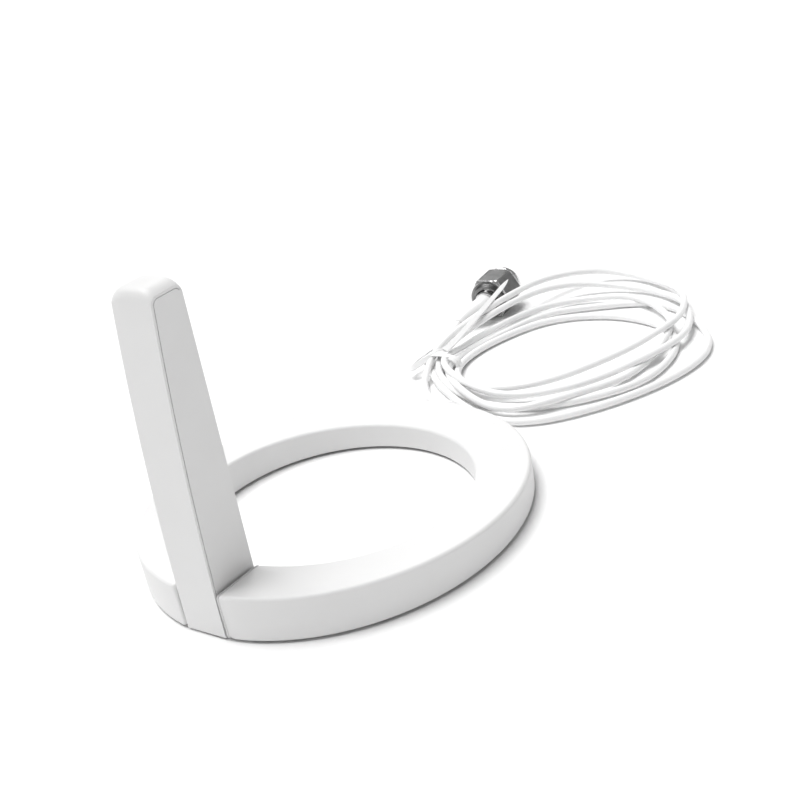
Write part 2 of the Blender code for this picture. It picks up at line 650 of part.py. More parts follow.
def coil_outline(column, outward):
    """One side of the coil as a closed smooth line, moved out or in by a cord's radius."""
    knots = [(*row[column], 0) for row in COIL_STATIONS_MM]
    count = len(knots)
    line = []
    for i in range(count):
        before, here, there, after = (Vector(knots[(i + k) % count]) for k in (-1, 0, 1, 2))
        for step in range(STEPS_PER_STATION):
            t = step / STEPS_PER_STATION
            bend_in, bend_out = here * 2 - before - there, there * 2 - here - after
            place = here + (there - here) * t + (bend_in * (1 - t) + bend_out * t) * (t * (1 - t) / 2)
            line.append(place)
    moved = []
    for i, place in enumerate(line):
        along = (line[(i + 1) % len(line)] - line[i - 1]).normalized()
        moved.append((place + Vector((-along.y, along.x, 0)) * outward) * MM)
    return moved


def make_coil():
    """The outer shape of all the turns as one flat ring; it is thicker where the turns pile up."""
    margin = CORD_RADIUS / MM + 0.05
    outer = coil_outline(0, margin)
    inner = coil_outline(1, -margin)
    sections = []
    for i in range(len(outer)):
        row, share = divmod(i, STEPS_PER_STATION)
        share /= STEPS_PER_STATION
        after = (row + 1) % len(COIL_STATIONS_MM)
        low, high = (
            (COIL_STATIONS_MM[row][k] * (1 - share) + COIL_STATIONS_MM[after][k] * share) * MM for k in (2, 3)
        )
        sections.append([
            at_height(outer[i], low), at_height(outer[i], high),
            at_height(inner[i], high), at_height(inner[i], low),
        ])
    add_object("cord_coil", mesh_from("cord_coil", loft(sections, closed=True)), "cord_white")


def ribbon(points_mm, width, thickness):
    """A flat strip along these points, level from side to side."""
    points = smooth_route([Vector(p) * MM for p in points_mm], 3 * MM)
    sections = []
    for i, point in enumerate(points):
        along = (points[min(i + 1, len(points) - 1)] - points[max(i - 1, 0)]).normalized()
        side = along.cross(Vector((0, 0, 1))).normalized() * (width / 2)
        up = side.cross(along).normalized() * (thickness / 2)
        sections.append([point - side - up, point + side - up, point + side + up, point - side + up])
    return loft(sections)


def make_tie():
    low = (TIE_X[0], TIE_Y - TIE_WIDTH / 2, TIE_Z[0])
    high = (TIE_X[1], TIE_Y + TIE_WIDTH / 2, TIE_Z[1])
    tie = add_object("cord_tie", mesh_from("cord_tie", box(low, high)), "cord_white")
    inside_low = (low[0] + TIE_THICKNESS, low[1] - MM, low[2] + TIE_THICKNESS)
    inside_high = (high[0] - TIE_THICKNESS, high[1] + MM, high[2] - TIE_THICKNESS)
    combine(tie, "DIFFERENCE", box(inside_low, inside_high))
    combine(tie, "UNION", ribbon(TIE_TAIL_MM, 1.6 * MM, 0.4 * MM))
    combine(tie, "UNION", ribbon(TIE_LOOP_MM, 3.0 * MM, 0.4 * MM))


def make_cord():
    for name, route_mm in (("cord_lead", LEAD_ROUTE_MM), ("cord_tail", TAIL_ROUTE_MM)):
        route = smooth_route([Vector(p) * MM for p in route_mm], CORD_SPACING)
        tube(name, route, CORD_RADIUS, "cord_white")


# Plug


def hexagon(radius, along, place):
    """The nut's six corners at this distance along its axis, with a flat underneath."""
    angles = [math.radians(60 * i) for i in range(6)]
    return [place @ Vector((radius * math.cos(a), radius * math.sin(a), along)) for a in angles]


def plug_frame():
    """Local +Z is the plug's axis towards its open end and local +Y is up."""
    forward = PLUG_DIRECTION
    up = Vector((0, 0, 1))
    side = up.cross(forward)
    turn = Matrix((side, up, forward)).transposed().to_4x4()
    return Matrix.Translation(PLUG_REAR) @ turn


def make_coupling_nut(axis):
    place = plug_frame()
    corner = NUT_ACROSS_FLATS / math.sqrt(3)
    prism = loft([hexagon(corner, along, place) for along in (0, NUT_LENGTH)])
    nut = add_object("coupling_nut", mesh_from("coupling_nut", prism), "dark_nickel", axis)
    flat = NUT_ACROSS_FLATS / 2
    chamfer = [
        (0, 0), (flat, 0), (corner + 0.1 * MM, 0.6 * MM), (corner + 0.1 * MM, NUT_LENGTH - 0.7 * MM),
        (flat + 0.05 * MM, NUT_LENGTH), (0, NUT_LENGTH),
    ]
    combine(nut, "INTERSECT", turned(chamfer, PLUG_REAR, PLUG_DIRECTION, 36))
    start = PLUG_REAR - PLUG_DIRECTION * NUT_COLLAR_LENGTH
    collar = [
        (0, 0), (NUT_COLLAR_RADIUS - 0.9 * MM, 0), (NUT_COLLAR_RADIUS - 0.2 * MM, 0.4 * MM),
        (NUT_COLLAR_RADIUS, 1.0 * MM), (NUT_COLLAR_RADIUS, NUT_COLLAR_LENGTH + MM), (0, NUT_COLLAR_LENGTH + MM),
    ]
    combine(nut, "UNION", turned(collar, start, PLUG_DIRECTION, 36))
    end = NUT_LENGTH + 2 * MM
    bore = [
        (0, -4 * MM), (NUT_REAR_HOLE, -4 * MM), (NUT_REAR_HOLE, NUT_FLANGE), (NUT_BORE, NUT_FLANGE),
        (NUT_BORE, NUT_LENGTH - 0.4 * MM), (NUT_BORE + 0.4 * MM, NUT_LENGTH), (NUT_BORE + 0.4 * MM, end), (0, end),
    ]
    combine(nut, "DIFFERENCE", turned(bore, PLUG_REAR, PLUG_DIRECTION, 36))


def make_plug():
    axis = axis_empty("nut_axis", PLUG_REAR)
    make_coupling_nut(axis)
    gap = 0.3 * MM
    body = [
        (2.0 * MM, -1.4 * MM), (3.2 * MM, -1.4 * MM),
        (3.2 * MM, NUT_FLANGE + gap), (4.1 * MM, NUT_FLANGE + gap),
        (4.1 * MM, 3.7 * MM), (2.8 * MM, 3.9 * MM), (2.8 * MM, 4.6 * MM), (2.0 * MM, 4.6 * MM),
    ]
    add_object("plug_body", mesh_from("plug_body", turned(body, PLUG_REAR, PLUG_DIRECTION)), "bright_nickel")
    ferrule = [
        (1.4 * MM, -2.5 * MM), (2.9 * MM, -2.5 * MM), (3.2 * MM, -2.3 * MM),
        (3.2 * MM, -1.7 * MM), (1.4 * MM, -1.7 * MM),
    ]
    ferrule_shape = turned(ferrule, PLUG_REAR, PLUG_DIRECTION)
    add_object("crimp_ferrule", mesh_from("crimp_ferrule", ferrule_shape), "bright_nickel")
    core = [(0.6 * MM, -1.2 * MM), (1.85 * MM, -1.2 * MM), (1.85 * MM, 4.2 * MM), (0.6 * MM, 4.2 * MM)]
    core_shape = turned(core, PLUG_REAR, PLUG_DIRECTION)
    add_object("plug_insulator", mesh_from("plug_insulator", core_shape), "dielectric")
    pin = [
        (0, -1.0 * MM), (0.45 * MM, -1.0 * MM), (0.45 * MM, 12.0 * MM), (0.2 * MM, 12.4 * MM), (0, 12.4 * MM),
    ]
    add_object("centre_pin", mesh_from("centre_pin", turned(pin, PLUG_REAR, PLUG_DIRECTION, 12)), "copper")
    widest = BOOT_RADII_MM[0]
    route = [Vector(p) * MM for p in BOOT_ROUTE_MM]
    shares = [radius / widest for radius in BOOT_RADII_MM]
    tube("plug_boot", route, widest * MM, "cord_white", radii=shares)


def main():
    clear_scene()
    make_top_shell()
    make_bottom_cover()
    make_cover_screws_and_pads()
    make_ballast()
    make_grommet()
    make_base_lead()
    make_hinge()
    pivot = axis_empty("mast_pivot", (0, PIVOT_Y, PIVOT_Z))
    make_mast_body(pivot)
    make_mast_front_cover(pivot)
    make_board(pivot)
    make_cord()
    make_coil()
    make_tie()
    make_plug()


main()
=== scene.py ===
import json
import math

import bmesh
import bpy
import numpy as np
from mathutils import Matrix, Quaternion, Vector


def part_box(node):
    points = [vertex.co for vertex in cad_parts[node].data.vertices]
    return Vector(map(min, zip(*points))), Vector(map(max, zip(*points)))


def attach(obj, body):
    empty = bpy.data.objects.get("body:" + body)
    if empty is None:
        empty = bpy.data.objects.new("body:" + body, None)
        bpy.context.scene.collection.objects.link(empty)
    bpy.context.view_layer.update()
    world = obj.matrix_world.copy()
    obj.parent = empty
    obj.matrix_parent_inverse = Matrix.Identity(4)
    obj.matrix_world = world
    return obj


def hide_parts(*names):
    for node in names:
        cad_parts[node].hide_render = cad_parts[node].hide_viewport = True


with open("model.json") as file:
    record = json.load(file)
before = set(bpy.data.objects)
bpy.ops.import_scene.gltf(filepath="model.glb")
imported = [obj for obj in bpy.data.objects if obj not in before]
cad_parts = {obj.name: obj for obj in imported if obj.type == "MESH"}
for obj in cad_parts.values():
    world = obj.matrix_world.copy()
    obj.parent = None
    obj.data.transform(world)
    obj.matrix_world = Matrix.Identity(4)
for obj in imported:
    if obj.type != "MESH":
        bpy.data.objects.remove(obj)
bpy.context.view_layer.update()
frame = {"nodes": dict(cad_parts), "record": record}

MM = 0.001
NODES = frame["nodes"]
SHELL_LOW, SHELL_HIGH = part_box("base_top_shell")
GROMMET_LOW, GROMMET_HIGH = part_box("cable_grommet")
MAST_LOW, MAST_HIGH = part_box("mast_front_cover")

# Floor
FLOOR_RADIUS = 1.5
SWEEP_RADIUS = 0.3

# Camera
CAMERA_AT = Vector((148.55, -159.27, 124.0)) * MM
CAMERA_TARGET = Vector((-18.81, 50.83, 0.0)) * MM
CAMERA_ROLL_DEG = -11.39
CAMERA_LENS = 52.5

# Coax cord, in the row frame
CORD_DIAMETER = 1.8 * MM
ON_TABLE_MM = 0.95
LEAD_ROUTE_MM = (
    (0, 42.0, 2.75), (0, 43.5, 2.75), (0, 45.5, 2.75), (-0.3, 46.8, 2.65), (-1.4, 48.1, 2.2),
    (-3.2, 49.2, 1.55), (-6.1, 50.1, 0.95), (-9.7, 51.7, 0.95), (-12.9, 54.6, 0.95), (-16.2, 58.9, 1.2),
    (-18.6, 63.4, 2.6),
)
TAIL_ROUTE_MM = (
    (-21.0, 71.4, 0.95), (-22.9, 75.8, 0.95), (-24.1, 80.2, 0.95), (-24.9, 84.8, 1.3), (-25.4, 88.6, 2.0),
    (-25.8, 92.2, 2.8),
)
# Stations round the coil, starting at the tie: the outermost line and the innermost line
COIL_STATIONS_MM = (
    ((-20.6, 68.3), (-12.4, 68.3)),
    ((-18.9, 85.0), (-13.2, 79.5)),
    ((-14.8, 101.0), (-9.0, 92.0)),
    ((-12.0, 119.0), (-3.8, 101.6)),
    ((-2.6, 134.0), (4.6, 106.4)),
    ((14.4, 135.6), (15.0, 108.0)),
    ((32.0, 121.4), (25.5, 104.6)),
    ((46.6, 97.0), (30.4, 96.5)),
    ((44.4, 75.6), (25.8, 78.0)),
    ((31.0, 54.6), (17.4, 63.0)),
    ((14.8, 44.4), (5.0, 56.4)),
    ((-6.5, 53.6), (-5.6, 59.6)),
)
# Where each turn runs between the two lines (0 outermost, 1 innermost) at these stations
SHARE_STATIONS = (0, 2, 4.5, 6, 7.2, 8.2, 10, 11, 12)
TURN_SHARES = (
    (0.12, 0.0, 0.0, 0.18, 0.85, 1.0, 1.0, 1.0, 1.0),
    (1.0, 1.0, 1.0, 0.95, 0.5, 0.2, 0.6, 0.45, 0.25),
    (0.25, 0.2, 0.35, 0.2, 0.5, 0.65, 0.88, 0.7, 0.5),
    (0.5, 0.45, 0.6, 0.62, 0.72, 0.5, 0.3, 0.55, 0.75),
    (0.75, 0.72, 0.8, 0.35, 0.0, 0.0, 0.0, 0.22, 0.0),
)
# How far each turn is held up off the table, by its own stiffness, at these stations
LIFT_STATIONS = (0, 1, 2, 3, 4.5, 7.5, 10, 12)
TURN_LIFTS_MM = (
    (2.0, 4.7, 7.1, 4.6, 0.0, 2.2, 2.0, 0.0),
    (0.0, 0.0, 0.0, 0.0, 0.0, 0.0, 0.0, 0.0),
    (0.0, 3.2, 5.6, 3.6, 0.0, 1.0, 1.0, 0.0),
    (0.0, 1.2, 1.8, 0.2, 0.0, 0.0, 0.0, 0.0),
    (0.0, 0.0, 0.0, 0.0, 0.0, 0.0, 0.0, 0.0),
)
# Each turn's place in the pile, 0 lowest
TURN_LAYERS = (4, 1, 3, 2, 0)
POINTS_PER_STATION = 6
# How the line is smoothed: spacing in mm, rounds, and how steeply a hump falls away
POINT_SPACING = 1.6
RELAX_ROUNDS = 24
HUMP_FALL = 0.04
HUMP_REACH = 10
# Neighbours along the line that never count as lying under a point
OWN_NEIGHBOURS = 7

# Ring
NOTCH_HALF_WIDTH = 5.35 * MM
OPENING_RADIUS = 30.5 * MM
OPENING_Y = -1.5 * MM
TOP_AT_MAST = 9.9 * MM
TOP_AT_EXIT = 5.5 * MM
RING_SECTIONS = 150
RIGHT_END_RADIUS = 0.3 * MM
LEFT_END_RADIUS = 0.7 * MM

# Mast
HALF_WIDTH = MAST_HIGH.x
MAST_TOP = 65.9 * MM
CROWN = MAST_HIGH.z - MAST_TOP
CROWN_STARTS = 62.4 * MM
FRONT_AT_FLOOR = -43.4 * MM
FRONT_SLOPE = 0.0151
FRONT_CURVE = 0.955
REAR_AT_FLOOR = -32.3 * MM
REAR_SLOPE = 0.021
TOP_FRONT_RADIUS = 1.9 * MM
TOP_REAR_RADIUS = 1.6 * MM
COVER_THICKNESS = 0.5 * MM
COVER_END_DEG = 28
SEAM = 0.16 * MM
MAST_WALL = 1.3 * MM
MAST_FLOOR = 12.5 * MM
MAST_ROOF = 60.9 * MM
PIVOT_Y = frame["record"]["behaviour"]["joints"][0]["pos_m"][1]
PIVOT_Z = frame["record"]["behaviour"]["joints"][0]["pos_m"][2]
FOOT_RADIUS = 4.7 * MM
BOARD_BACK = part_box("antenna_board")[1].y
BOARD_SCREWS = ((-1.5 * MM, 17.0 * MM), (0.0, 58.0 * MM))

# Tie round the bundle
BUNDLE_MIDDLE = Vector((-16.4, 68.4, 2.56)) * MM
BUNDLE_HALF_WIDTH = 5.3 * MM
BUNDLE_HALF_HEIGHT = 2.2 * MM
TIE_THICKNESS = 0.35 * MM
TIE_TAIL_MM = ((-16.4, 70.6, 4.9), (-16.2, 80.0, 6.3), (-16.4, 94.0, 8.3), (-16.8, 107.2, 10.3))
TIE_LOOP_MM = (
    (-17.0, 72.4, 4.7), (-18.2, 69.4, 4.5), (-19.8, 66.2, 4.1), (-21.2, 63.8, 3.5), (-22.0, 62.6, 3.1),
    (-22.7, 62.5, 2.9), (-23.3, 63.4, 2.8), (-23.4, 65.4, 2.9), (-22.9, 69.0, 3.3), (-22.2, 72.4, 3.5),
    (-21.2, 74.6, 3.6), (-19.6, 73.6, 4.0), (-18.6, 71.4, 4.3), (-18.0, 69.4, 4.45),
)
# Plug
PLUG_REAR = Vector(frame["record"]["behaviour"]["joints"][1]["pos_m"])
PLUG_DIRECTION = Vector(frame["record"]["behaviour"]["joints"][1]["axis"]).normalized()
NUT_APOTHEM = 5.5 * MM
NUT_BORE = 4.45 * MM
NUT_REAR_HOLE = 3.5 * MM
THREAD_PITCH = 0.8 * MM
# The nut's front collar starts here; from here forward the nut carries the painted highlight.
COLLAR_START = 9.3 * MM
BOOT_ROUTE_MM = (
    (-21.60, 100.9, 5.5), (-21.52, 100.0, 5.48), (-21.95, 98.9, 5.3), (-22.9, 97.7, 4.9),
    (-23.9, 96.5, 4.4), (-24.7, 95.2, 3.85), (-25.3, 93.9, 3.35), (-25.75, 92.5, 2.85),
)
BOOT_RADII_MM = (2.6, 2.6, 2.5, 2.3, 2.05, 1.8, 1.5, 1.3)


# Small tools


def add_mesh(name, bm, body, material, smooth_deg=35):
    """A new piece from this mesh. It rides on the body."""
    bmesh.ops.recalc_face_normals(bm, faces=bm.faces)
    mesh = bpy.data.meshes.new(name)
    bm.to_mesh(mesh)
    bm.free()
    mesh.shade_smooth()
    mesh.set_sharp_from_angle(angle=math.radians(smooth_deg))
    mesh.materials.append(material)
    piece = bpy.data.objects.new(name, mesh)
    bpy.context.scene.collection.objects.link(piece)
    if body:
        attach(piece, body)
    return piece


def loft(sections, closed=False, capped=True):
    """Skins a list of sections, each a list of points."""
    bm = bmesh.new()
    rings = [[bm.verts.new(point) for point in section] for section in sections]
    spans = len(rings) if closed else len(rings) - 1
    for i in range(spans):
        here, there = rings[i], rings[(i + 1) % len(rings)]
        for k in range(len(here)):
            after = (k + 1) % len(here)
            bm.faces.new((here[k], here[after], there[after], there[k]))
    if not closed and capped:
        bm.faces.new(rings[0])
        bm.faces.new(rings[-1])
    return bm


def prism_x(outline, half_width):
    return loft([[(x, y, z) for y, z in outline] for x in (-half_width, half_width)])


def turned(profile, start, direction, steps=48):
    """A turned solid: profile holds (radius, distance along direction). A radius of 0 closes an end."""
    bm = bmesh.new()
    place = Matrix.Translation(start) @ Vector(direction).to_track_quat("Z", "Y").to_matrix().to_4x4()
    rings = []
    for radius, along in profile:
        count = steps if radius else 1
        angles = [2 * math.pi * i / count for i in range(count)]
        points = [place @ Vector((radius * math.cos(a), radius * math.sin(a), along)) for a in angles]
        rings.append([bm.verts.new(point) for point in points])
    pairs = list(zip(rings, rings[1:]))
    if profile[0][0]:
        pairs.append((rings[-1], rings[0]))
    for here, there in pairs:
        for i in range(steps):
            j = (i + 1) % steps
            corners = [here[i % len(here)], here[j % len(here)], there[j % len(there)], there[i % len(there)]]
            bm.faces.new(list(dict.fromkeys(corners)))
    return bm


def cut(piece, bm, operation="DIFFERENCE"):
    """Adds a Boolean of this shape; settle() turns it into mesh."""
    cutter = add_mesh(f"{piece.name}_cutter", bm, None, piece.data.materials[0])
    modifier = piece.modifiers.new(operation, "BOOLEAN")
    modifier.operation = operation
    modifier.object = cutter
    return cutter


def round_edges(piece, width, segments=3, angle_deg=40):
    modifier = piece.modifiers.new("rounded", "BEVEL")
    modifier.width = width
    modifier.segments = segments
    modifier.limit_method = "ANGLE"
    modifier.angle_limit = math.radians(angle_deg)
    modifier.use_clamp_overlap = True


def settle(piece, cutters=()):
    """Turns a piece's modifiers into mesh, removes their cutters and evens out the shading of flat faces."""
    bpy.context.view_layer.update()
    graph = bpy.context.evaluated_depsgraph_get()
    mesh = bpy.data.meshes.new_from_object(piece.evaluated_get(graph))
    piece.modifiers.clear()
    piece.data = mesh
    for cutter in cutters:
        bpy.data.objects.remove(cutter)
    weighted = piece.modifiers.new("even_shading", "WEIGHTED_NORMAL")
    weighted.keep_sharp = True


def spline_points(knots, counts, closed=False):
    """Catmull-Rom points through the knots, this many in each span."""
    knots = [np.array(knot, float) for knot in knots]
    last = len(knots) - 1
    points = []
    for i in range(len(knots) if closed else last):
        if closed:
            before, here, there, after = (knots[(i + k) % len(knots)] for k in (-1, 0, 1, 2))
        else:
            before, here, there, after = (knots[min(max(i + k, 0), last)] for k in (-1, 0, 1, 2))
        for step in range(counts):
            t = step / counts
            bend_in = 2 * here - before - there
            bend_out = 2 * there - here - after
            bend = (bend_in * (1 - t) + bend_out * t) * (t * (1 - t) / 2)
            points.append(here + (there - here) * t + bend)
    if not closed:
        points.append(knots[-1])
    return points


# Materials


def finish(
        name, dark, light, patch, rough, grain, depth,
        metallic=0.0, coat=0.0, stretch=(1, 1, 1), specular=0.5):
    """A surface whose tone and roughness vary over patches, with a fine grain pressed in."""
    material = bpy.data.materials.new(name)
    material.use_nodes = True
    tree = material.node_tree
    shader = tree.nodes["Principled BSDF"]
    shader.inputs["Metallic"].default_value = metallic
    shader.inputs["Coat Weight"].default_value = coat
    shader.inputs["Specular IOR Level"].default_value = specular
    place = tree.nodes.new("ShaderNodeTexCoord")
    scaled = tree.nodes.new("ShaderNodeMapping")
    scaled.inputs["Scale"].default_value = stretch
    tree.links.new(place.outputs["Object"], scaled.inputs["Vector"])
    patches = tree.nodes.new("ShaderNodeTexNoise")
    patches.inputs["Scale"].default_value = 1 / patch
    patches.inputs["Detail"].default_value = 4
    tree.links.new(scaled.outputs["Vector"], patches.inputs["Vector"])
    tone = tree.nodes.new("ShaderNodeValToRGB")
    tone.color_ramp.elements[0].position = 0.3
    tone.color_ramp.elements[0].color = (*dark, 1)
    tone.color_ramp.elements[1].position = 0.7
    tone.color_ramp.elements[1].color = (*light, 1)
    tree.links.new(patches.outputs["Fac"], tone.inputs["Fac"])
    tree.links.new(tone.outputs["Color"], shader.inputs["Base Color"])
    gloss = tree.nodes.new("ShaderNodeMapRange")
    gloss.inputs["From Min"].default_value = 0.25
    gloss.inputs["From Max"].default_value = 0.75
    gloss.inputs["To Min"].default_value = rough[0]
    gloss.inputs["To Max"].default_value = rough[1]
    tree.links.new(patches.outputs["Fac"], gloss.inputs["Value"])
    tree.links.new(gloss.outputs["Result"], shader.inputs["Roughness"])
    grains = tree.nodes.new("ShaderNodeTexNoise")
    grains.inputs["Scale"].default_value = 1 / grain
    grains.inputs["Detail"].default_value = 3
    tree.links.new(scaled.outputs["Vector"], grains.inputs["Vector"])
    bump = tree.nodes.new("ShaderNodeBump")
    bump.inputs["Strength"].default_value = 0.6
    bump.inputs["Distance"].default_value = depth
    tree.links.new(grains.outputs["Fac"], bump.inputs["Height"])
    tree.links.new(bump.outputs["Normal"], shader.inputs["Normal"])
    return material


def grey(value, warm=0.0):
    return (value + warm, value, value - warm)


def make_materials():
    return {
        "white_plastic": finish(
            "white_abs", grey(0.775, 0.002), grey(0.795, 0.001), 9 * MM, (0.44, 0.54), 0.22 * MM, 0.012 * MM),
        "cover_plastic": finish(
            "cover_abs", grey(0.84, 0.003), grey(0.87, 0.002), 7 * MM, (0.5, 0.62), 0.3 * MM, 0.02 * MM),
        "rubber": finish("white_rubber", grey(0.68), grey(0.76), 3 * MM, (0.75, 0.9), 0.15 * MM, 0.02 * MM),
        "cord_white": finish(
            "white_pvc", grey(0.925), grey(0.945), 6 * MM, (0.32, 0.44), 0.35 * MM, 0.01 * MM, coat=0.1),
        "tie_white": finish(
            "tie_plastic", grey(0.91), grey(0.94), 2 * MM, (0.3, 0.45), 0.25 * MM, 0.015 * MM),
        "steel": finish(
            "zinc_steel", grey(0.5), grey(0.62), 1.5 * MM, (0.25, 0.4), 0.1 * MM, 0.004 * MM, 1.0),
        "ballast_steel": finish(
            "rolled_steel", grey(0.26), grey(0.36), 5 * MM, (0.4, 0.6), 0.3 * MM, 0.01 * MM, 1.0,
            stretch=(1, 0.2, 1)),
        "brass": finish(
            "turned_brass", (0.7, 0.5, 0.22), (0.8, 0.6, 0.3), 1 * MM, (0.2, 0.35), 0.1 * MM, 0.004 * MM, 1.0),
        "acetal": finish("acetal", grey(0.82), grey(0.88), 2 * MM, (0.3, 0.4), 0.2 * MM, 0.006 * MM),
        "copper": finish(
            "copper", (0.75, 0.38, 0.24), (0.9, 0.52, 0.36), 1.5 * MM, (0.2, 0.4), 0.1 * MM, 0.003 * MM, 1.0),
        "board": finish(
            "solder_mask", (0.02, 0.16, 0.06), (0.04, 0.24, 0.1), 3 * MM, (0.25, 0.4), 0.3 * MM, 0.006 * MM),
        "chip": finish("moulded_black", grey(0.02), grey(0.045), 1 * MM, (0.4, 0.6), 0.08 * MM, 0.006 * MM),
        # Painted shade: the nut's flats get this dark nickel tone in place of the dark surroundings they would
        # reflect.
        "dark_nickel": finish(
            "satin_nickel_painted_shade", grey(0.165), grey(0.23), 2.2 * MM, (0.26, 0.38), 0.12 * MM, 0.004 * MM, 1.0),
        # Painted highlight: a light copy of the same nickel for the nut's edges, in place of the highlights
        # they would catch.
        "nickel_painted_highlight": finish(
            "nickel_edge_painted_highlight", grey(0.72), grey(0.86), 2 * MM, (0.2, 0.32), 0.12 * MM, 0.003 * MM, 1.0),
        "bright_nickel": finish(
            "bright_nickel", grey(0.62), grey(0.78), 2 * MM, (0.08, 0.18), 0.2 * MM, 0.003 * MM, 1.0),
        "dielectric": finish("dielectric", grey(0.8), grey(0.88), 1 * MM, (0.5, 0.6), 0.1 * MM, 0.006 * MM),
    }


def paint_cad_nodes(materials):
    """Every CAD node that still shows gets the finish of its material slot."""
    slots = {entry["node"]: entry["material_slot"] for entry in frame["record"]["subparts"]}
    for name, node in NODES.items():
        node.data.materials.clear()
        node.data.materials.append(materials[slots[name]])


# Camera


def make_camera():
    data = bpy.data.cameras.new("camera")
    data.lens = CAMERA_LENS
    data.sensor_width = 36
    data.clip_start = 0.01
    camera = bpy.data.objects.new("camera", data)
    bpy.context.scene.collection.objects.link(camera)
    camera.location = CAMERA_AT
    camera.rotation_mode = "QUATERNION"
    look = (CAMERA_TARGET - CAMERA_AT).to_track_quat("-Z", "Y")
    camera.rotation_quaternion = look @ Quaternion((0, 0, 1), math.radians(CAMERA_ROLL_DEG))
    bpy.context.scene.camera = camera


# Cord


def coil_line():
    """The coil's centre line in mm, before its turns rest on each other, and each point's layer."""
    steps = POINTS_PER_STATION
    outer = spline_points([row[0] for row in COIL_STATIONS_MM], steps, closed=True)
    inner = spline_points([row[1] for row in COIL_STATIONS_MM], steps, closed=True)
    places, layers = [], []
    for shares, lifts, layer in zip(TURN_SHARES, TURN_LIFTS_MM, TURN_LAYERS):
        for i, (out, into) in enumerate(zip(outer, inner)):
            share = np.interp(i / steps, SHARE_STATIONS, shares)
            height = ON_TABLE_MM + np.interp(i / steps, LIFT_STATIONS, lifts)
            places.append((*(out + (into - out) * share), height))
            layers.append(layer)
    return np.array(places), np.array(layers)


def relaxed(line, rounds, fixed):
    """The line with its small kinks smoothed out."""
    line = line.copy()
    for _ in range(rounds):
        middle = (line[:-2] + line[2:]) / 2
        moved = line[1:-1] * 0.5 + middle * 0.5
        line[1:-1] = np.where(fixed[1:-1, None], line[1:-1], moved)
    return line


def resampled(line, spacing):
    """The line with points this far apart, and the old index of each new point."""
    lengths = np.concatenate([[0], np.cumsum(np.linalg.norm(np.diff(line, axis=0), axis=1))])
    count = max(2, round(lengths[-1] / spacing))
    at = np.linspace(0, lengths[-1], count + 1)
    points = np.column_stack([np.interp(at, lengths, line[:, k]) for k in range(line.shape[1])])
    return points, np.interp(at, lengths, np.arange(len(line)))


def eased(heights):
    """Turns each peak into a long low hump, and smooths the line without going below its peaks."""
    reach = HUMP_REACH
    padded = np.pad(heights, reach, mode="edge")
    spans = []
    for k in range(-reach, reach + 1):
        spans.append(padded[reach + k: reach + k + len(heights)] - HUMP_FALL * k**2)
    smooth = np.max(spans, axis=0)
    for _ in range(6):
        padded = np.pad(smooth, 1, mode="edge")
        smooth = np.maximum(heights, (padded[:-2] + padded[1:-1] * 2 + padded[2:]) / 4)
    return smooth


def stacked_heights(flat, floor, layers):
    """Heights of the line's points, in mm, where each layer lies on the ones below it in long low humps."""
    thick = CORD_DIAMETER / MM
    heights = floor.copy()
    for layer in sorted(set(layers)):
        mine = np.where(layers == layer)[0]
        below = np.where(layers < layer)[0]
        for i in mine:
            near = below[np.abs(below - i) > OWN_NEIGHBOURS]
            sideways = np.linalg.norm(flat[near] - flat[i], axis=1)
            rise = np.sqrt(np.maximum(thick**2 - sideways**2, 0))
            touching = np.abs(heights[near] - heights[i]) < rise
            if touching.any():
                heights[i] = max(heights[i], (heights[near] + rise)[touching].max())
        heights[mine] = eased(heights)[mine]
    heights = np.where(layers < 0, floor, eased(heights))
    for _ in range(4):
        heights[2:-2] = (heights[:-4] + heights[1:-3] + heights[2:-2] * 2 + heights[3:-1] + heights[4:]) / 6
    return heights


def cord_route():
    """The whole cord from the grommet to the plug's boot, as points in metres."""
    lead = np.array(spline_points(LEAD_ROUTE_MM, 3))
    tail = np.array(spline_points(TAIL_ROUTE_MM, 4))
    coil, coil_layers = coil_line()
    knots = np.vstack([lead, coil, tail])
    layers = np.concatenate([np.full(len(lead), -1), coil_layers, np.full(len(tail), -1)])
    line, old = resampled(knots, POINT_SPACING)
    fixed = (old < len(lead) - 4) | (old > len(knots) - len(tail) + 2)
    line = relaxed(line, RELAX_ROUNDS, fixed)
    new_layers = layers[np.round(old).astype(int)]
    heights = stacked_heights(line[:, :2], line[:, 2], new_layers)
    return np.column_stack([line[:, :2], heights]) * MM


def make_cord(material):
    route = cord_route()
    curve = bpy.data.curves.new("coax_cord", "CURVE")
    curve.dimensions = "3D"
    curve.bevel_depth = CORD_DIAMETER / 2
    curve.bevel_resolution = 4
    curve.use_fill_caps = True
    curve.materials.append(material)
    spline = curve.splines.new("POLY")
    spline.points.add(len(route) - 1)
    for point, place in zip(spline.points, route):
        point.co = (*place, 1)
    spline.use_smooth = True
    cord = bpy.data.objects.new("coax_cord", curve)
    bpy.context.scene.collection.objects.link(cord)
    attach(cord, "base")
    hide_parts("cord_lead", "cord_coil", "cord_tail")
    length = float(np.linalg.norm(np.diff(route, axis=0), axis=1).sum())
    return cord, route, length


# Ring base


def top_height(y):
    half = SHELL_HIGH.y
    return TOP_AT_MAST + (TOP_AT_EXIT - TOP_AT_MAST) * (y + half) / (2 * half)


def outer_point(angle):
    return Vector((SHELL_HIGH.x * math.sin(angle), -SHELL_HIGH.y * math.cos(angle), 0))


def inner_point(angle):
    return Vector((OPENING_RADIUS * math.sin(angle), OPENING_Y - OPENING_RADIUS * math.cos(angle), 0))


def quarter(steps):
    return [math.pi / 2 * i / steps for i in range(steps + 1)]


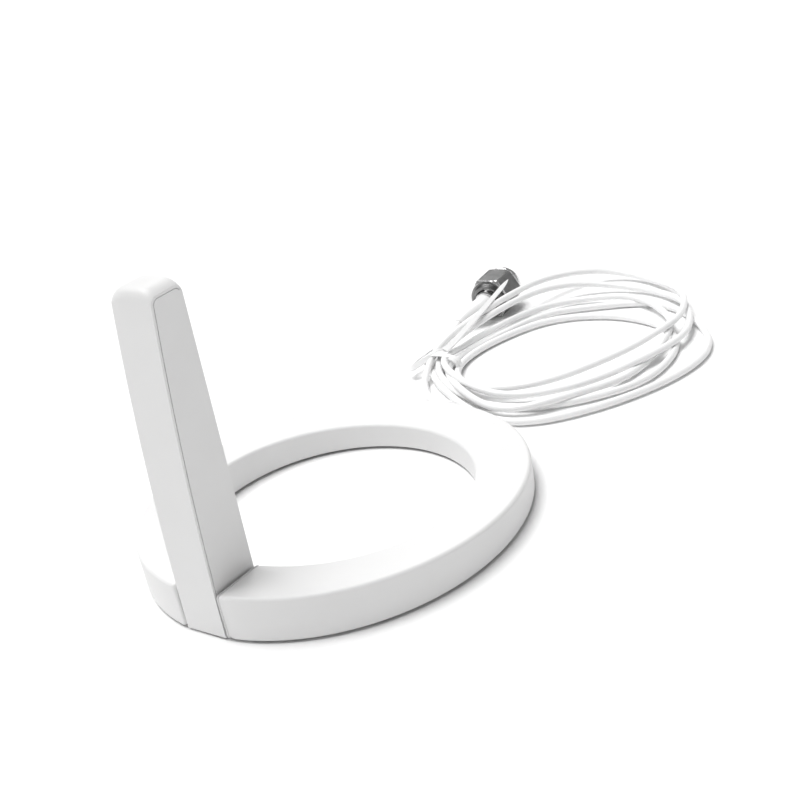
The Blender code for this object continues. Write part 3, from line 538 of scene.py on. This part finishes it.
def ring_section(outer, inner, inset, low, radii):
    """The ring's section between two outline points, set in all round, with its four edges rounded."""
    inward = (inner - outer).normalized()
    outer = outer + inward * inset
    inner = inner - inward * inset
    low += inset
    points = []
    for base, step in ((outer, inward), (inner, -inward)):
        side = []
        for a in quarter(3):
            place = base + step * (radii[0] * (1 - math.sin(a)))
            side.append(Vector((place.x, place.y, low + radii[0] * (1 - math.cos(a)))))
        for a in quarter(6):
            place = base + step * (radii[1] * (1 - math.cos(a)))
            high = top_height(place.y) - inset - radii[1] * (1 - math.sin(a))
            side.append(Vector((place.x, place.y, high)))
        points.append(side)
    return points[0] + points[1][::-1]


def plane_angles(x):
    """The outer and inner angles whose points lie at this x, near the mast."""
    return math.asin(x / SHELL_HIGH.x), math.asin(x / OPENING_RADIUS)


def ring_end(radius):
    """Outer angle, inner angle and inset of the sections that round off one end, from its face inwards."""
    rows = []
    for a in quarter(4)[::-1]:
        angles = plane_angles(NOTCH_HALF_WIDTH + radius * (1 - math.sin(a)))
        rows.append((*angles, radius * (1 - math.cos(a))))
    return rows


def ring_sections(low, radii):
    """Sections from the right side of the notch round to the left side, with rounded ends."""
    full = 2 * math.pi
    right = ring_end(RIGHT_END_RADIUS)
    left = [(full - out, full - into, inset) for out, into, inset in ring_end(LEFT_END_RADIUS)[::-1]]
    sections = right[::-1]
    start, end = sections[-1], left[0]
    for i in range(1, RING_SECTIONS):
        share = i / RING_SECTIONS
        out, into = (start[k] + (end[k] - start[k]) * share for k in (0, 1))
        sections.append((out, into, 0.0))
    sections += left
    return [ring_section(outer_point(o), inner_point(i), inset, low, radii) for o, i, inset in sections]


def cavity_sections():
    """The hollow inside the ring, open underneath, as sections that stop short of the notch."""
    sections = []
    for i in range(61):
        angle = math.radians(15 + 330 * i / 60)
        outer, inner = outer_point(angle), inner_point(angle)
        inward = (inner - outer).normalized()
        sides = (outer + inward * 1.5 * MM, inner - inward * 1.4 * MM)
        ceiling = [Vector((p.x, p.y, top_height(p.y) - 1.3 * MM)) for p in sides]
        feet = [Vector((p.x, p.y, -MM)) for p in sides]
        sections.append([feet[0], *ceiling, feet[1]])
    return sections


def make_ring(material):
    """The white top shell: softly rounded edges above, rounded ends at the notch and a hollow below."""
    body = loft(ring_sections(SHELL_LOW.z, (0.3 * MM, 0.8 * MM)))
    shell = add_mesh("ring_shell", body, "base", material)
    cutters = [cut(shell, loft(cavity_sections()))]
    slot_start = Vector((0, SHELL_HIGH.y - 4 * MM, (GROMMET_LOW.z + GROMMET_HIGH.z) / 2))
    hole = turned([(0, 0), (1.45 * MM, 0), (1.45 * MM, 8 * MM), (0, 8 * MM)], slot_start, (0, 1, 0), 24)
    cutters.append(cut(shell, hole))
    for x in (-11 * MM, 4 * MM):
        radius = 2.3 * MM if x > 0 else 1.3 * MM
        profile = [(0, 0), (radius, 0), (radius, 7 * MM), (0, 7 * MM)]
        cutters.append(cut(shell, turned(profile, Vector((x, PIVOT_Y, PIVOT_Z)), (1, 0, 0), 32)))
    settle(shell, cutters)
    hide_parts("base_top_shell")


def make_sleeve(material):
    """Strain relief: a collar against the wall and a short ribbed sleeve that tapers over the lead."""
    bore = 0.97 * MM
    profile = [
        (bore, 0), (1.35 * MM, 0), (1.35 * MM, 2.9 * MM), (1.75 * MM, 2.9 * MM), (1.85 * MM, 3.0 * MM),
        (1.85 * MM, 3.4 * MM), (1.75 * MM, 3.55 * MM), (1.5 * MM, 3.6 * MM), (1.42 * MM, 3.8 * MM),
        (1.5 * MM, 4.0 * MM), (1.5 * MM, 4.2 * MM), (1.35 * MM, 4.3 * MM), (1.3 * MM, 4.5 * MM),
        (1.38 * MM, 4.65 * MM), (1.36 * MM, 4.85 * MM), (1.2 * MM, 4.95 * MM), (1.15 * MM, 5.15 * MM),
        (bore, 5.2 * MM),
    ]
    start = Vector((0, GROMMET_LOW.y, (GROMMET_LOW.z + GROMMET_HIGH.z) / 2))
    sleeve = add_mesh("lead_sleeve", turned(profile, start, (0, 1, 0), 40), "base", material)
    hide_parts("cable_grommet")
    return sleeve


# Mast


def front_y(z):
    return FRONT_AT_FLOOR + FRONT_SLOPE * z + FRONT_CURVE * z * z


def rear_y(z):
    return REAR_AT_FLOOR + REAR_SLOPE * z


def arc(centre, radius, start_deg, end_deg, steps):
    """Points (y, z) of an arc; 0 degrees points along +Y and 90 up."""
    angles = [math.radians(start_deg + (end_deg - start_deg) * i / steps) for i in range(steps + 1)]
    return [(centre[0] + radius * math.cos(a), centre[1] + radius * math.sin(a)) for a in angles]


def rear_corner(inset, start_deg, end_deg):
    """The rounded corner where the top turns down into the rear."""
    z = MAST_TOP - TOP_REAR_RADIUS
    return arc((rear_y(z) - TOP_REAR_RADIUS, z), TOP_REAR_RADIUS - inset, start_deg, end_deg, 7)


def mast_skin(inset, end_deg):
    """The mast's front and top as (y, z) points from the foot upwards, set in by this much."""
    front_z = MAST_TOP - TOP_FRONT_RADIUS
    heights = [MAST_LOW.z + (front_z - MAST_LOW.z) * i / 24 for i in range(25)]
    face = [(front_y(z) + inset, z) for z in heights]
    front_corner = arc((front_y(front_z) + TOP_FRONT_RADIUS, front_z), TOP_FRONT_RADIUS - inset, 172, 90, 10)
    return face + front_corner + rear_corner(inset, 90, end_deg)


def crowned(outline):
    """A prism along X of a (y, z) outline whose top swells towards the middle of its width."""
    sections = []
    for i in range(17):
        x = HALF_WIDTH * math.sin(math.pi / 2 * (i - 8) / 8)
        swell = CROWN * (1 - abs(x / HALF_WIDTH) ** 4)
        section = []
        for y, z in outline:
            share = min(max((z - CROWN_STARTS) / (MAST_TOP - COVER_THICKNESS - CROWN_STARTS), 0), 1)
            section.append((x, y, z + swell * share * share * (3 - 2 * share)))
        sections.append(section)
    return loft(sections)


def make_mast(material):
    """A deep tray on a solid foot, and the strip that closes it up the front and over the top."""
    outline = mast_skin(0, COVER_END_DEG) + mast_skin(COVER_THICKNESS, COVER_END_DEG)[::-1]
    cover = add_mesh("mast_face", crowned(outline), "mast", material)
    round_edges(cover, 0.3 * MM, 3, 50)
    settle(cover)
    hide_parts("mast_front_cover")
    shoulder_deg = COVER_END_DEG - math.degrees(SEAM / TOP_REAR_RADIUS)
    tray = mast_skin(COVER_THICKNESS + SEAM, shoulder_deg) + rear_corner(0, shoulder_deg, 0)
    tray += [(rear_y(z), z) for z in (45 * MM, 25 * MM, 9 * MM)]
    tray += arc((PIVOT_Y, PIVOT_Z), FOOT_RADIUS, 0, -90, 14)
    body = add_mesh("mast_tray", crowned(tray), "mast", material)
    round_edges(body, 0.3 * MM, 3, 50)
    back = [(rear_y(z) - MAST_WALL, z) for z in (MAST_FLOOR, MAST_ROOF)]
    hollow = [back[0], back[1], (-45 * MM, MAST_ROOF), (-45 * MM, MAST_FLOOR)]
    cutters = [cut(body, prism_x(hollow, HALF_WIDTH - MAST_WALL))]
    for x, z in BOARD_SCREWS:
        start = Vector((x, BOARD_BACK + 0.1 * MM, z))
        length = rear_y(z) - 0.6 * MM - start.y
        boss = turned([(0, 0), (1.3 * MM, 0), (1.3 * MM, length), (0, length)], start, (0, 1, 0), 24)
        cutters.append(cut(body, boss, "UNION"))
        pilot = [(0, -MM), (0.6 * MM, -MM), (0.6 * MM, 1.9 * MM), (0, 1.9 * MM)]
        cutters.append(cut(body, turned(pilot, start, (0, 1, 0), 24)))
    bores = (
        ((0.8 * MM, 3.4 * MM), (0, 0, 1), 2.0 * MM, 10 * MM),
        ((1.5 * MM, PIVOT_Z), (1, 0, 0), 2.32 * MM, 4 * MM),
        ((-6 * MM, PIVOT_Z), (1, 0, 0), 1.32 * MM, 4 * MM),
        ((-5.35 * MM, PIVOT_Z), (1, 0, 0), 3.4 * MM, MM),
        ((4.35 * MM, PIVOT_Z), (1, 0, 0), 3.4 * MM, MM),
    )
    for (x, z), direction, radius, length in bores:
        bore = [(0, 0), (radius, 0), (radius, length), (0, length)]
        cutters.append(cut(body, turned(bore, Vector((x, PIVOT_Y, z)), direction, 40)))
    settle(body, cutters)
    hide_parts("mast_body")


# Tie


def ribbon(points, ups, widths, thickness):
    """A flat strip along these points. ups says which way its flat side faces at each point."""
    sections = []
    for i, point in enumerate(points):
        along = (points[min(i + 1, len(points) - 1)] - points[max(i - 1, 0)]).normalized()
        side = along.cross(ups[i]).normalized() * (widths[i] / 2)
        up = side.cross(along).normalized() * (thickness / 2)
        edge = side * 0.86
        sections.append([
            point - edge - up, point + edge - up, point + side - up * 0.3, point + side + up * 0.3,
            point + edge + up, point - edge + up, point - side + up * 0.3, point - side - up * 0.3,
        ])
    return loft(sections)


def make_tie(material):
    """A flat strip wound twice round the bundle, with one long pointed end and one folded back."""
    points, ups = [], []
    steps = 72
    for i in range(steps + 1):
        share = i / steps
        angle = math.radians(80 + 700 * share)
        across, rise = math.cos(angle), math.sin(angle)
        round_x = math.copysign(abs(across) ** 0.75, across)
        round_z = math.copysign(abs(rise) ** 0.75, rise)
        lift = 0.16 * MM * math.sin(math.pi * share * 2)
        wide = round_x * (BUNDLE_HALF_WIDTH + lift)
        high = round_z * (BUNDLE_HALF_HEIGHT + lift)
        points.append(BUNDLE_MIDDLE + Vector((wide, (0.9 - 1.9 * share) * MM, high)))
        ups.append(Vector((round_x * BUNDLE_HALF_HEIGHT, 0, round_z * BUNDLE_HALF_WIDTH)).normalized())
    strip = ribbon(points, ups, [1.5 * MM] * len(points), TIE_THICKNESS)
    band = add_mesh("tie_band", strip, "base", material)
    tail = [Vector(p) * MM for p in spline_points(TIE_TAIL_MM, 8)]
    widths = [(1.7 - 0.5 * i / len(tail)) * MM for i in range(len(tail))]
    widths[-3:] = [1.0 * MM, 0.6 * MM, 0.15 * MM]
    strip = ribbon(tail, [Vector((0.5, -0.1, 1))] * len(tail), widths, 0.5 * MM)
    end = add_mesh("tie_tail", strip, "base", material)
    loop = [Vector(p) * MM for p in spline_points(TIE_LOOP_MM, 5)]
    fold_ups = []
    for i in range(len(loop)):
        along = loop[min(i + 1, len(loop) - 1)] - loop[max(i - 1, 0)]
        fold_ups.append(Vector((-along.y, along.x, 0.9 * along.length)))
    fold = add_mesh("tie_fold", ribbon(loop, fold_ups, [1.6 * MM] * len(loop), 0.4 * MM), "base", material)
    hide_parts("cord_tie")
    return [band, end, fold]


# Plug


def plug_place():
    """Local +Z is the plug's axis towards its open end and local +Y is up."""
    up = Vector((0, 0, 1))
    turn = Matrix((up.cross(PLUG_DIRECTION), up, PLUG_DIRECTION)).transposed().to_4x4()
    return Matrix.Translation(PLUG_REAR) @ turn


def nut_angles():
    """Angles round the nut, close together at its six corners."""
    offsets = (-1.5, -0.5, 0.5, 1.5, 6, 12, 18, 24, 30, 36, 42, 48, 54)
    return [math.radians(60 * corner + offset) for corner in range(6) for offset in offsets]


def hex_radius(angle):
    turn = math.radians(math.degrees(angle) % 60 - 30)
    return NUT_APOTHEM / math.cos(turn)


def nut_profile():
    """(largest radius, distance) from the rear round the outside, then back through the threaded bore."""
    outside = (
        (3.9, -1.6), (4.35, -1.5), (4.7, -1.2), (4.9, -0.7), (4.9, -0.1), (5.35, 0.0), (5.6, 0.12),
        (6.0, 0.34), (6.27, 0.62), (6.27, 9.1), (6.1, 9.35), (5.8, 9.6), (5.45, 9.75), (5.2, 9.85),
        (5.15, 10.0), (5.2, 10.15), (5.42, 10.22), (5.5, 10.35), (5.5, 11.2), (5.42, 11.4), (5.25, 11.5),
    )
    profile = [(radius * MM, along * MM, True) for radius, along in outside]
    profile += [(4.85 * MM, 11.5 * MM, False), (4.5 * MM, 11.1 * MM, False)]
    along = 10.8 * MM
    while along > 3.0 * MM:
        for share, depth in ((0.0, 0.0), (0.2, 0.0), (0.55, 0.33), (0.65, 0.33)):
            profile.append((NUT_BORE + depth * MM, along - share * THREAD_PITCH, False))
        along -= THREAD_PITCH
    inside = ((NUT_BORE, 2.25 * MM), (NUT_REAR_HOLE, 2.2 * MM), (NUT_REAR_HOLE, -1.5 * MM))
    profile += [(radius, along, False) for radius, along in inside]
    return profile


def paint_edge_highlights(nut, material):
    """Painted highlight: the chamfers, the lines between the flats and the collar at the open end get a light
    copy of the nut's nickel.
    """
    profile = nut_profile()
    count = len(nut_angles())
    nut.data.materials.append(material)
    for face in nut.data.polygons:
        span, place = divmod(face.index, count)
        start, end = profile[span], profile[(span + 1) % len(profile)]
        outside = start[2] and end[2]
        chamfer = start[1] >= 0 and start[0] != end[0]
        corner = start[1] > 0 and place % (count // 6) < 3
        if outside and (chamfer or corner or start[1] > COLLAR_START):
            face.material_index = 1


def make_nut(materials):
    place = plug_place()
    sections = []
    for limit, along, outside in nut_profile():
        section = []
        for angle in nut_angles():
            radius = min(limit, hex_radius(angle)) if outside else limit
            section.append(place @ Vector((radius * math.cos(angle), radius * math.sin(angle), along)))
        sections.append(section)
    # The nut: painted shade on the flats, painted highlight on its edges.
    nut = add_mesh("hex_nut", loft(sections, closed=True), "nut", materials["dark_nickel"], smooth_deg=22)
    paint_edge_highlights(nut, materials["nickel_painted_highlight"])
    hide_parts("coupling_nut")
    return nut


def swept(points, radii, steps=32):
    """A round tube of changing radius along these points, with softened ends."""
    sections = []
    side = Vector((0, 0, 1))
    for i, (point, radius) in enumerate(zip(points, radii)):
        along = (points[min(i + 1, len(points) - 1)] - points[max(i - 1, 0)]).normalized()
        side = (side - along * side.dot(along)).normalized()
        other = along.cross(side)
        angles = [2 * math.pi * k / steps for k in range(steps)]
        sections.append([point + (side * math.cos(a) + other * math.sin(a)) * radius for a in angles])
    return loft(sections)


def make_boot(material):
    """The soft boot behind the plug, curving down to the table and tapering to the lead."""
    rows = [(*route, radius) for route, radius in zip(BOOT_ROUTE_MM, BOOT_RADII_MM)]
    smooth = spline_points(rows, 6)
    points = [Vector(row[:3]) * MM for row in smooth]
    radii = [row[3] * MM for row in smooth]
    radii[0] -= 0.25 * MM
    radii[1] -= 0.04 * MM
    radii[-1] -= 0.2 * MM
    radii[-2] -= 0.04 * MM
    boot = add_mesh("boot", swept(points, radii), "base", material)
    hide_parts("plug_boot")
    return boot


def make_plug_core(materials):
    """The turned pieces inside and behind the nut."""
    rows = (
        ("plug_sleeve", "plug_body", "bright_nickel", (
            (2.0, -1.4), (3.1, -1.4), (3.2, -1.3), (3.2, 2.5), (4.0, 2.5), (4.1, 2.6), (4.1, 3.6), (4.0, 3.7),
            (2.8, 3.9), (2.8, 4.5), (2.7, 4.6), (2.0, 4.6))),
        ("crimp_ring", "crimp_ferrule", "bright_nickel", (
            (1.4, -2.5), (2.75, -2.5), (2.95, -2.42), (3.15, -2.3), (3.2, -2.1), (3.15, -1.85), (3.0, -1.7),
            (1.4, -1.7))),
        ("core_insulator", "plug_insulator", "dielectric", (
            (0.6, -1.2), (1.85, -1.2), (1.85, 4.1), (1.75, 4.2), (0.6, 4.2))),
        ("core_pin", "centre_pin", "copper", (
            (0, -1.0), (0.45, -1.0), (0.45, 11.9), (0.38, 12.15), (0.2, 12.4), (0, 12.4))),
    )
    made = []
    for name, node, paint, profile in rows:
        outline = [(radius * MM, along * MM) for radius, along in profile]
        shape = turned(outline, PLUG_REAR, PLUG_DIRECTION, 48)
        piece = add_mesh(name, shape, "base", materials[paint])
        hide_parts(node)
        made.append(piece)
    return made


# Floor and light


def make_floor():
    """A round sweep of pale paper: flat under the object, curving up far away."""
    profile = [(FLOOR_RADIUS, -0.0002)]
    for i in range(1, 13):
        angle = math.pi / 2 * i / 12
        rise = SWEEP_RADIUS * (1 - math.cos(angle))
        profile.append((FLOOR_RADIUS + SWEEP_RADIUS * math.sin(angle), rise - 0.0002))
    bm = bmesh.new()
    steps = 96
    rings = []
    for radius, z in profile:
        angles = [2 * math.pi * k / steps for k in range(steps)]
        rings.append([bm.verts.new((radius * math.cos(a), radius * math.sin(a), z)) for a in angles])
    bm.faces.new(rings[0])
    for here, there in zip(rings, rings[1:]):
        for k in range(steps):
            after = (k + 1) % steps
            bm.faces.new((here[k], here[after], there[after], there[k]))
    material = finish("paper", grey(0.94), grey(0.955), 0.4, (0.85, 0.95), 1.2 * MM, 0.01 * MM, specular=0.1)
    floor = add_mesh("floor", bm, None, material)


def add_area_light(name, place, target, size, power):
    data = bpy.data.lights.new(name, "AREA")
    data.energy = power
    data.size = size
    light = bpy.data.objects.new(name, data)
    bpy.context.scene.collection.objects.link(light)
    light.location = place
    light.rotation_euler = (Vector(target) - Vector(place)).to_track_quat("-Z", "Y").to_euler()


def make_light():
    world = bpy.data.worlds.new("studio")
    world.use_nodes = True
    background = world.node_tree.nodes["Background"]
    background.inputs["Color"].default_value = (1.0, 1.0, 1.0, 1.0)
    background.inputs["Strength"].default_value = 0.24
    bpy.context.scene.world = world
    bpy.context.scene.view_settings.view_transform = "Standard"
    add_area_light("key", (-0.7, -0.25, 2.8), (0, 0, 0), 1.8, 88.0)
    add_area_light("sweep_light", (-1.3, 1.9, 1.6), (-1.0, 1.4, 0), 1.0, 14.0)


def main():
    materials = make_materials()
    make_camera()
    cord, route, length = make_cord(materials["cord_white"])
    paint_cad_nodes(materials)
    make_ring(materials["white_plastic"])
    sleeve = make_sleeve(materials["rubber"])
    make_mast(materials["white_plastic"])
    on_cord = [sleeve, *make_tie(materials["tie_white"]), make_nut(materials)]
    on_cord += [make_boot(materials["cord_white"]), *make_plug_core(materials)]
    make_floor()
    make_light()


main()
